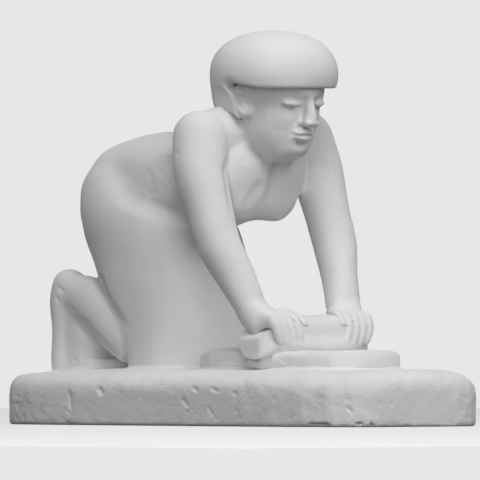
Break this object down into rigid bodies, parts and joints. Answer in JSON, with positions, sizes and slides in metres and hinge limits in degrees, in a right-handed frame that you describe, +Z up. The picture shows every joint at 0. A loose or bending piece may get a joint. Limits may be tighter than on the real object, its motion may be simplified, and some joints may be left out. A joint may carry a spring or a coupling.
{
  "type": "kneeling grain grinder statuette",
  "caption": "Stone statuette of a kneeling woman in a smooth headcloth who leans forward and pushes a handstone over a saddle quern, on a soft-edged rectangular plinth.",
  "frame": {"origin": "centre of the plinth's flat underside", "axes": "+Z up, +X the way the woman faces and pushes, +Y to her left"},
  "size_m": [0.388, 0.176, 0.2985],
  "materials": {
    "figure_stone": "smooth matte pale limestone",
    "plinth_stone": "tooled matte pale limestone"
  },
  "bodies": {
    "root": {"plinth": "plinth_stone", "quern": "plinth_stone", "handstone": "figure_stone", "skirt": "figure_stone", "torso": "figure_stone", "head": "figure_stone", "headcloth": "figure_stone", "upper_arm_right": "figure_stone", "upper_arm_left": "figure_stone", "forearm_right": "figure_stone", "forearm_left": "figure_stone", "hand_right": "figure_stone", "hand_left": "figure_stone", "calf_right": "figure_stone", "calf_left": "figure_stone", "foot_right": "figure_stone", "foot_left": "figure_stone", "leg_web": "figure_stone"}
  },
  "joints": []
}
